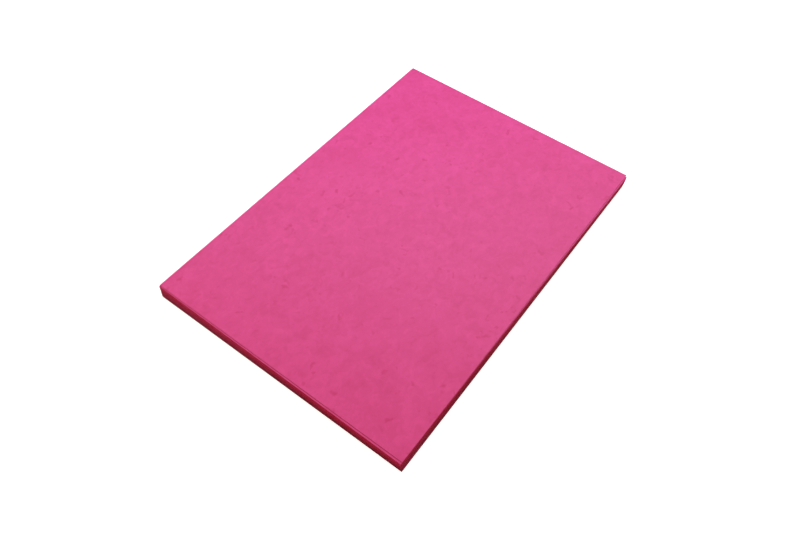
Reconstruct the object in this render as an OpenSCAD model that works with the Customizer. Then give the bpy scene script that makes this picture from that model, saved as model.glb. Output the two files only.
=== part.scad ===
// A loose stack of pressboard sheets, squared up by hand, lying flat.
// Each sheet is a piece of its own and lies face to face on the one beneath.
// The origin is on the table under the middle of the stack: X across, Y along, Z up.

/* [Sheets] */
// Width of a sheet, across the stack
sheet_w = 210; // [100:0.5:420]
// Length of a sheet, along the stack
sheet_l = 297; // [140:0.5:594]
// Thickness of the board
board_t = 0.45; // [0.2:0.01:3]
// Number of sheets in the stack
sheet_count = 25; // [8:1:60]

/* [Top sheet] */
// How far its middle lies to the right of the origin
top_x = -0.6; // [-4:0.05:4]
// How far its middle lies behind the origin
top_y = 0.9; // [-4:0.05:4]

/* [Sheet under the top one] */
// Its slip to the right, measured from the top sheet
under_x = 0.5; // [-4:0.05:4]
// Its slip to the back, measured from the top sheet
under_y = -1.2; // [-4:0.05:4]
// Its turn seen from above, in degrees
under_turn = -0.22; // [-3:0.01:3]

/* [Lowest sheet] */
// Its slip to the right, measured from the top sheet
lowest_x = 0.6; // [-4:0.05:4]
// Its slip to the back, measured from the top sheet
lowest_y = -1.45; // [-4:0.05:4]
// Its turn seen from above, in degrees
lowest_turn = 0.14; // [-3:0.01:3]

/* [Squaring up] */
// How far a sheet under the top one strays from the even run between those two, each way
stray = 0.1; // [0:0.01:1]
// How far it strays in its turn, in degrees
stray_turn = 0.03; // [0:0.01:0.5]

/* [Hidden] */
board_colour = [0.87, 0.34, 0.56];
// Degrees in the straying pattern between one sheet and the next, so that it never quite repeats
stray_step = 137;

function sheet_name(i) = str("sheet_", i < 10 ? "0" : "", i);

// 0 at the sheet under the top one and 1 at the lowest, slow at first and faster near the table
function settling(i) = pow((sheet_count - 1 - i) / (sheet_count - 2), 2);

function between(i, under, lowest) = under + settling(i) * (lowest - under);

function slip(i) = [
    between(i, under_x, lowest_x) + stray * sin(i * stray_step),
    between(i, under_y, lowest_y) + stray * cos(i * stray_step)
];

function turn(i) = between(i, under_turn, lowest_turn) + stray_turn * sin(2 * i * stray_step);

function is_top(i) = i == sheet_count;

// Sheet number i, counted from the table
module sheet(i) {
    place = [top_x, top_y] + (is_top(i) ? [0, 0] : slip(i));
    color(board_colour)
        translate([place.x, place.y, (i - 1) * board_t])
            rotate([0, 0, is_top(i) ? 0 : turn(i)])
                linear_extrude(board_t)
                    square([sheet_w, sheet_l], center = true);
}

for (i = [1 : sheet_count])
    sheet(i);
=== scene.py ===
import math

import bmesh
import bpy
from mathutils import Matrix, Vector, noise


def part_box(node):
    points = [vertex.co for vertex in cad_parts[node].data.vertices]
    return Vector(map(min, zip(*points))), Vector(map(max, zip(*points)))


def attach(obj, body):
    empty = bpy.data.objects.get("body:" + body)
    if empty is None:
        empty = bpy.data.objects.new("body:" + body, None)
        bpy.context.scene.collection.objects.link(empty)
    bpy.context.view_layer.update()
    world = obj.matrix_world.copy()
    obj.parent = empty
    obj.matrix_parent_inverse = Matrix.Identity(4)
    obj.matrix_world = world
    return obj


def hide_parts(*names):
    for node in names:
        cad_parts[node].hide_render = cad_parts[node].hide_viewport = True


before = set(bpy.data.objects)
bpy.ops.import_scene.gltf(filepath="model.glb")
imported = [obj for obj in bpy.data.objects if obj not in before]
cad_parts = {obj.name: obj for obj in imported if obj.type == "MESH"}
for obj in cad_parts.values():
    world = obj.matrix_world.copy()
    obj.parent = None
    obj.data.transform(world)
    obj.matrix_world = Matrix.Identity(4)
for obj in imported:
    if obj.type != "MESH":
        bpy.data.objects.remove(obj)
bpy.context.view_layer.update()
mm = 0.001
sheetNames = sorted(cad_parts)
topSheet = sheetNames[-1]
topLow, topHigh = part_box(topSheet)
topCentre = Vector(((topLow.x + topHigh.x) / 2, (topLow.y + topHigh.y) / 2, topHigh.z))
print("frame loaded:", len(sheetNames), "sheets")

# Steps in the noise from one sheet to the next, so that no two sheets are alike
seedSteps = {"grain": 7.3, "dip": 3.1, "cut": 5.7}


# A socket that can be calculated with. Plain values go through Math nodes.
class Wire:
    def __init__(self, tree, socket=None):
        self.tree = tree
        self.socket = socket

    # Adds any node. Settings are set first, then its sockets get values or links.
    def node(self, kind, settings=None, sockets=None, output=0):
        added = self.tree.nodes.new(kind)
        for name, value in (settings or {}).items():
            setattr(added, name, value)
        for name, value in (sockets or {}).items():
            if isinstance(value, Wire):
                self.tree.links.new(value.socket, added.inputs[name])
            else:
                added.inputs[name].default_value = value
        return Wire(self.tree, added.outputs[output] if added.outputs else None)

    def math(self, operation, first, second):
        return self.node("ShaderNodeMath", {"operation": operation}, {0: first, 1: second})

    def __add__(self, other):
        return self.math("ADD", self, other)

    def __radd__(self, other):
        return self.math("ADD", other, self)

    def __sub__(self, other):
        return self.math("SUBTRACT", self, other)

    def __rsub__(self, other):
        return self.math("SUBTRACT", other, self)

    def __mul__(self, other):
        return self.math("MULTIPLY", self, other)

    def __rmul__(self, other):
        return self.math("MULTIPLY", other, self)

    # 0 below low, 1 above high, with a soft rise between
    def rise(self, low, high):
        settings = {"interpolation_type": "SMOOTHSTEP"}
        return self.node("ShaderNodeMapRange", settings, {0: self, 1: low, 2: high})

    # One colour shading into another as this value goes from 0 to 1
    def colours(self, start, end):
        ends = [c if isinstance(c, Wire) else (*c, 1) for c in (start, end)]
        return self.node("ShaderNodeMix", {"data_type": "RGBA"}, {0: self, 6: ends[0], 7: ends[1]}, 2)


def startMaterial(name):
    material = bpy.data.materials.new(name)
    material.use_nodes = True
    material.node_tree.nodes.clear()
    return material, Wire(material.node_tree)


def finishMaterial(wire, colour, roughness, normal, fixed):
    shader = wire.node("ShaderNodeBsdfPrincipled", None, {
        "Base Color": colour, "Roughness": roughness, "Normal": normal, **fixed})
    wire.node("ShaderNodeOutputMaterial", None, {"Surface": shader})


# Where a point lies on its own sheet, stretched so that one unit is one grain of the given size
def grainPlace(wire, size):
    place = wire.node("ShaderNodeTexCoord", output="Object")
    scale = tuple(1 / s for s in size)
    return wire.node("ShaderNodeVectorMath", {"operation": "MULTIPLY"}, {0: place, 1: scale})


# A cloudy pattern between 0 and 1 with grains of the given size, different on every sheet
def grain(wire, size, detail=2.0, roughness=0.5, warp=0.0):
    number = wire.node("ShaderNodeAttribute", {"attribute_name": "sheetNumber"}, output="Fac")
    return wire.node("ShaderNodeTexNoise", {"noise_dimensions": "4D"}, {
        "Vector": grainPlace(wire, size), "W": number * seedSteps["grain"], "Scale": 1.0,
        "Detail": detail, "Roughness": roughness, "Distortion": warp})


faceLook = {
    "pale": (0.675, 0.069, 0.328),
    "deep": (0.558, 0.041, 0.223),
    "fleck": (0.505, 0.022, 0.155),
    # painted shade and sheen along the rim of the face
    "rim": (0.47, 0.075, 0.23),
    "cloudSize": (24 * mm, 24 * mm, 24 * mm),
    "flakeSize": (6 * mm, 7 * mm, 7 * mm),
    "fleckSize": (4.5 * mm, 5 * mm, 4.5 * mm),
    "fibreSize": (0.16 * mm, 1.6 * mm, 0.5 * mm),
    "cloudContrast": 0.6,
    "flakeContrast": 1.5,
    "fibreContrast": 0.35,
    "fleckRise": (0.60, 0.80),        # flecks start at the first value and are full at the second
    "fleckClouds": (0.36, 0.58),      # the same for the clouds that they gather in
    "fleckStrength": 0.65,
    "rimStrength": 0.5,
    "fibreHeight": 0.6,               # shares in the bump
    "flakeHeight": 0.8,
    "fleckDepth": 0.5,
    "roughness": 0.46,
    "flakeRoughness": 0.12,           # how much the roughness changes with the flakes
    "fibreRoughness": 0.06,
    "specular": 0.25,
    "bump": {"Strength": 0.25, "Distance": 0.02 * mm},
}


def faceMaterial():
    look = faceLook
    material, wire = startMaterial("pressboardFace")
    cloud = grain(wire, look["cloudSize"], detail=1.5)
    flake = grain(wire, look["flakeSize"], detail=3, roughness=0.55, warp=0.6)
    spots = grain(wire, look["fleckSize"], detail=1.0, roughness=0.4, warp=0.5)
    fibre = grain(wire, look["fibreSize"], detail=2.5)
    rim = wire.node("ShaderNodeAttribute", {"attribute_name": "rim"}, output="Fac")
    flecks = spots.rise(*look["fleckRise"]) * cloud.rise(*look["fleckClouds"])
    tone = 0.5 + (cloud - 0.5) * look["cloudContrast"] + (flake - 0.5) * look["flakeContrast"]
    tone = tone + (fibre - 0.5) * look["fibreContrast"]
    colour = tone.colours(look["deep"], look["pale"])
    colour = (flecks * look["fleckStrength"]).colours(colour, look["fleck"])
    # Painted shade and sheen on the strip round the face
    colour = (rim * look["rimStrength"]).colours(colour, look["rim"])
    roughness = look["roughness"] + (flake - 0.5) * look["flakeRoughness"]
    roughness = roughness + (fibre - 0.5) * look["fibreRoughness"]
    height = fibre * look["fibreHeight"] + flake * look["flakeHeight"] - flecks * look["fleckDepth"]
    normal = wire.node("ShaderNodeBump", None, {**look["bump"], "Height": height})
    finishMaterial(wire, colour, roughness, normal, {"Specular IOR Level": look["specular"]})
    return material


# The cut edge's colour is partly its own darker cut fibres and partly painted shade of the stack's sides.
# It darkens further towards the table as painted shade.
edgeLook = {
    "pale": (0.33, 0.005, 0.036),     # edges near the top
    "deep": (0.08, 0.001, 0.007),     # edges near the table, darker as painted shade
    "layerSize": (3 * mm, 3 * mm, 0.05 * mm),
    "tearSize": (0.5 * mm, 0.5 * mm, 0.2 * mm),
    "layerContrast": 0.4,
    "tearContrast": 0.3,
    "tearHeight": 0.8,
    "roughness": 0.85,
    "tearRoughness": 0.2,
    "specular": 0.05,
    "bump": {"Strength": 0.4, "Distance": 0.03 * mm},
}


def edgeMaterial():
    look = edgeLook
    material, wire = startMaterial("pressboardCutEdge")
    layers = grain(wire, look["layerSize"], detail=2)
    tears = grain(wire, look["tearSize"], detail=3, roughness=0.6)
    number = wire.node("ShaderNodeAttribute", {"attribute_name": "sheetNumber"}, output="Fac")
    # Painted shade: the cut edge darkens sheet by sheet towards the table
    tone = number * (1 / len(sheetNames))
    tone = tone + (layers - 0.5) * look["layerContrast"] + (tears - 0.5) * look["tearContrast"]
    colour = tone.colours(look["deep"], look["pale"])
    roughness = look["roughness"] + (tears - 0.5) * look["tearRoughness"]
    height = layers + tears * look["tearHeight"]
    normal = wire.node("ShaderNodeBump", None, {**look["bump"], "Height": height})
    finishMaterial(wire, colour, roughness, normal, {"Specular IOR Level": look["specular"]})
    return material


sheetLook = {
    "gap": 0.012 * mm,          # open under each sheet, so that neighbours never share a surface
    "entryRound": 0.10 * mm,    # where the blade came in, on the upper side
    "exitRound": 0.03 * mm,     # where it left
    "cornerRadius": 0.25 * mm,
    "cornerSteps": 4,
    "rimWidth": 0.55 * mm,      # strip round the face that takes the rim's painted shade and sheen
    "border": 2.0 * mm,         # from the cut to the face's outermost grid line
    "step": 7.0 * mm,           # between the face's grid lines
    "wander": 0.05 * mm,        # how far a cut runs in from a straight line
    "wanderLength": 40 * mm,
    "dip": 0.02 * mm,           # how uneven a face is
    "dipLength": 60 * mm,
    "rimDip": 0.2,              # how much of the dip is left where the rim starts
}


# The plan of a CAD sheet: one corner, the directions of its two sides, and their lengths
def sheetPlan(node):
    plan = [v.co.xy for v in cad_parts[node].data.vertices]
    corner, across, along = (
        max(plan, key=lambda p: sx * p.x + sy * p.y) for sx, sy in ((-1, -1), (1, -1), (-1, 1)))
    return corner, across - corner, along - corner


# Places of the grid lines along one side of the face
def gridLines(length):
    border = sheetLook["border"]
    count = round((length - 2 * border) / sheetLook["step"])
    return [border + (length - 2 * border) * i / count for i in range(count + 1)]


# Spokes run from the rim of the face's grid out to the cut. Each is a grid vertex, a base point that
# lies one corner radius in from the cut, and the direction outwards.
def edgeSpokes(us, vs, width, length):
    r, steps = sheetLook["cornerRadius"], sheetLook["cornerSteps"]
    lastU, lastV = len(us) - 1, len(vs) - 1
    sides = [
        ([(i, 0) for i in range(lastU + 1)], lambda i, j: (us[i], r)),
        ([(lastU, j) for j in range(lastV + 1)], lambda i, j: (width - r, vs[j])),
        ([(i, lastV) for i in range(lastU, -1, -1)], lambda i, j: (us[i], length - r)),
        ([(0, j) for j in range(lastV, -1, -1)], lambda i, j: (r, vs[j])),
    ]
    centres = [(width - r, r), (width - r, length - r), (r, length - r), (r, r)]
    spokes = []
    for side, (places, base) in enumerate(sides):
        out = math.radians(90 * side - 90)
        outwards = Vector((math.cos(out), math.sin(out)))
        spokes += [(place, Vector(base(*place)), outwards) for place in places]
        for step in range(steps + 1):
            turn = out + math.radians(90) * step / steps
            spokes.append((places[-1], Vector(centres[side]), Vector((math.cos(turn), math.sin(turn)))))
    return spokes


# Noise between 0 and 1 that changes over the given length
def unevenness(point, length, seed):
    return 0.5 + 0.5 * max(-1, min(1, noise.noise(Vector((point.x / length, point.y / length, seed)))))


def buildSheet(node, number, materials):
    look = sheetLook
    corner, across, along = sheetPlan(node)
    width, length = across.length, along.length
    low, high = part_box(node)
    bottom, top = low.z + look["gap"], high.z
    us, vs = gridLines(width), gridLines(length)
    spokes = edgeSpokes(us, vs, width, length)
    vertices, rims, faces, kinds = [], [], [], []

    def addVertex(point, height, rim=0.0):
        flat = corner + across * (point.x / width) + along * (point.y / length)
        vertices.append((flat.x, flat.y, height))
        rims.append(rim)
        return len(vertices) - 1

    def addFace(corners, kind):
        faces.append(corners)
        kinds.append(kind)

    def addGrid(height, sign):
        grid = {}
        for i, u in enumerate(us):
            for j, v in enumerate(vs):
                point = Vector((u, v))
                dip = look["dip"] * unevenness(point, look["dipLength"], number * seedSteps["dip"] + sign)
                grid[i, j] = addVertex(point, height - sign * dip)
        for i in range(len(us) - 1):
            for j in range(len(vs) - 1):
                quad = [grid[i, j], grid[i + 1, j], grid[i + 1, j + 1], grid[i, j + 1]]
                addFace(quad if sign > 0 else quad[::-1], 0)
        return [grid[spoke[0]] for spoke in spokes]

    # A closed ring of vertices, one on each spoke, at a distance in from the cut
    def addRing(inset, height, rim):
        ring = []
        for place, base, out in spokes:
            cut = look["wander"] * unevenness(base, look["wanderLength"], number * seedSteps["cut"])
            reach = look["cornerRadius"] - inset - cut
            ring.append(addVertex(base + out * reach, height, rim))
        return ring

    def bridge(upper, lower, kind):
        for k in range(len(upper)):
            n = (k + 1) % len(upper)
            loop = [upper[k], lower[k], lower[n], upper[n]]
            tidy = [v for m, v in enumerate(loop) if v != loop[m - 1]]
            if len(tidy) > 2:
                addFace(tidy, kind)

    # The cut from the upper face to the lower one: distance in from the cut, height, how much the
    # rim's painted shade shows, and the material of the strip above (0 the face's, 1 the cut edge's)
    entry, leave = look["entryRound"], look["exitRound"]
    midRound = 1 - math.sqrt(0.5)             # how far in the middle of a round lies, times its radius
    rimDip = look["rimDip"] * look["dip"]
    arris = 0 if node == topSheet else 1      # only the top sheet's arris keeps the face's colour; the lower sheets' take the cut edge's
    profile = [
        (look["rimWidth"], top - rimDip, 0.0, 0),
        (entry, top, 1.0, 0),
        (entry * midRound, top - entry * midRound, 1.0, arris),
        (0.0, top - entry, 1.0, 1),
        (0.0, bottom + leave, 1.0, 1),
        (leave, bottom, 1.0, 1),
        (look["rimWidth"], bottom + rimDip, 0.0, 0),
    ]
    above = addGrid(top, 1)
    for inset, height, rim, kind in profile:
        ring = addRing(inset, height, rim)
        bridge(above, ring, kind)
        above = ring
    bridge(above, addGrid(bottom, -1), 0)

    mesh = bpy.data.meshes.new(f"board_{number:02d}")
    mesh.from_pydata(vertices, [], faces)
    mesh.polygons.foreach_set("material_index", kinds)
    mesh.attributes.new("rim", "FLOAT", "POINT").data.foreach_set("value", rims)
    numbers = [number] * len(vertices)
    mesh.attributes.new("sheetNumber", "FLOAT", "POINT").data.foreach_set("value", numbers)
    mesh.shade_smooth()
    mesh.set_sharp_from_angle(angle=math.radians(50))
    for material in materials:
        mesh.materials.append(material)
    board = bpy.data.objects.new(f"board_{number:02d}", mesh)
    bpy.context.scene.collection.objects.link(board)
    return board


boardMaterials = [faceMaterial(), edgeMaterial()]
print("board materials made")
for number, node in enumerate(sheetNames, 1):
    board = buildSheet(node, number, boardMaterials)
    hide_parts(node)
    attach(board, node)
print("sheets built:", len(sheetNames))

floorLook = {
    "colour": (0.93, 0.93, 0.93),
    "paleColour": (0.95, 0.95, 0.95),
    "roughness": 0.9,
    "glow": 0.61,
    "glowTint": (1, 1.06, 1.18, 1),
    "size": 6.0,
}


def buildFloor():
    material, wire = startMaterial("paperSweep")
    speckle = wire.node("ShaderNodeTexNoise", None, {"Scale": 40.0, "Detail": 3.0})
    colour = speckle.colours(floorLook["colour"], floorLook["paleColour"])
    shader = wire.node("ShaderNodeBsdfPrincipled", None, {
        "Base Color": colour, "Roughness": floorLook["roughness"], "Specular IOR Level": 0.1,
        "Emission Color": floorLook["glowTint"], "Emission Strength": floorLook["glow"]})
    wire.node("ShaderNodeOutputMaterial", None, {"Surface": shader})
    half = floorLook["size"] / 2
    mesh = bpy.data.meshes.new("floor")
    corners = [(-half, -half, 0), (half, -half, 0), (half, half, 0), (-half, half, 0)]
    mesh.from_pydata(corners, [], [(0, 1, 2, 3)])
    mesh.materials.append(material)
    floor = bpy.data.objects.new("floor", mesh)
    bpy.context.scene.collection.objects.link(floor)


buildFloor()


# A white surround seen past the floor's far edge. It casts no light on the sheets.
def buildSurround():
    material, wire = startMaterial("whiteSurround")
    shader = wire.node("ShaderNodeEmission", None, {"Color": (1, 1, 1, 1), "Strength": 1.0})
    wire.node("ShaderNodeOutputMaterial", None, {"Surface": shader})
    mesh = bpy.data.meshes.new("surround")
    shell = bmesh.new()
    bmesh.ops.create_uvsphere(shell, u_segments=48, v_segments=24, radius=floorLook["size"])
    shell.to_mesh(mesh)
    shell.free()
    mesh.materials.append(material)
    surround = bpy.data.objects.new("surround", mesh)
    surround.visible_diffuse = False
    surround.visible_glossy = False
    surround.visible_shadow = False
    bpy.context.scene.collection.objects.link(surround)


buildSurround()
print("floor and surround placed")

# Azimuth 0 is in front of the near short edge and 90 beyond the right-hand long edge.
daylight, lampLight = (0.63, 0.80, 1.0), (1.0, 0.78, 0.50)
lightLook = {
    "strip": {
        "azimuth": 215, "elevation": 55, "distance": 0.4,
        "size": (0.7, 0.15), "watts": 0.876, "tint": daylight},
    "sheenRight": {
        "azimuth": 190, "elevation": 58, "distance": 0.6,
        "size": (0.35, 0.35), "watts": 0.62, "tint": daylight},
    "sheenLeft": {
        "azimuth": 240, "elevation": 58, "distance": 0.6,
        "size": (0.35, 0.35), "watts": 0.26, "tint": daylight},
    "backRight": {
        "azimuth": 170, "elevation": 45, "distance": 0.9,
        "size": (0.7, 0.7), "watts": 0.83, "tint": lampLight},
    "left": {
        "azimuth": 305, "elevation": 40, "distance": 0.9,
        "size": (0.7, 0.7), "watts": 1.54, "tint": lampLight},
    "front": {
        "azimuth": 35, "elevation": 50, "distance": 1.3,
        "size": (0.8, 0.8), "watts": 1.2, "tint": lampLight},
}
worldLook = {"colour": lampLight, "strength": 0.63}


# A unit vector towards an azimuth and elevation in degrees
def direction(azimuth, elevation):
    a, e = math.radians(azimuth), math.radians(elevation)
    return Vector((math.sin(a) * math.cos(e), -math.cos(a) * math.cos(e), math.sin(e)))


def buildLights():
    for name, look in lightLook.items():
        lamp = bpy.data.lights.new(name, "AREA")
        lamp.shape = "RECTANGLE"
        lamp.size, lamp.size_y = look["size"]
        lamp.energy = look["watts"]
        lamp.color = look["tint"]
        holder = bpy.data.objects.new(name, lamp)
        back = direction(look["azimuth"], look["elevation"])
        holder.location = topCentre + back * look["distance"]
        holder.rotation_euler = back.to_track_quat("Z", "Y").to_euler()
        bpy.context.scene.collection.objects.link(holder)
    world = bpy.data.worlds.new("studio")
    world.use_nodes = True
    world.node_tree.nodes.clear()
    wire = Wire(world.node_tree)
    glow = wire.node("ShaderNodeBackground", None, {
        "Color": (*worldLook["colour"], 1), "Strength": worldLook["strength"]})
    wire.node("ShaderNodeOutputWorld", None, {"Surface": glow})
    bpy.context.scene.world = world


buildLights()

cameraLook = {
    "azimuth": 34.93,
    "elevation": 53.81,
    "roll": 2.4,
    "distance": 547.5 * mm,
    "right": -6.4 * mm,      # from the top sheet's middle to the middle of the picture
    "up": -29.7 * mm,
    "lens": 33.207,
}


def buildCamera():
    look = cameraLook
    back = direction(look["azimuth"], look["elevation"])
    a, roll = math.radians(look["azimuth"]), math.radians(look["roll"])
    level = Vector((math.cos(a), math.sin(a), 0))
    rise = back.cross(level)
    right = level * math.cos(roll) + rise * math.sin(roll)
    up = rise * math.cos(roll) - level * math.sin(roll)
    lens = bpy.data.cameras.new("camera")
    lens.lens = look["lens"]
    lens.sensor_width = 36
    lens.clip_start = 0.01
    holder = bpy.data.objects.new("camera", lens)
    place = topCentre + back * look["distance"] + right * look["right"] + up * look["up"]
    turned = Matrix((right, up, back)).transposed().to_4x4()
    holder.matrix_world = Matrix.Translation(place) @ turned
    bpy.context.scene.collection.objects.link(holder)
    bpy.context.scene.camera = holder


buildCamera()
bpy.context.scene.view_settings.view_transform = "Standard"
print("lights and camera placed")
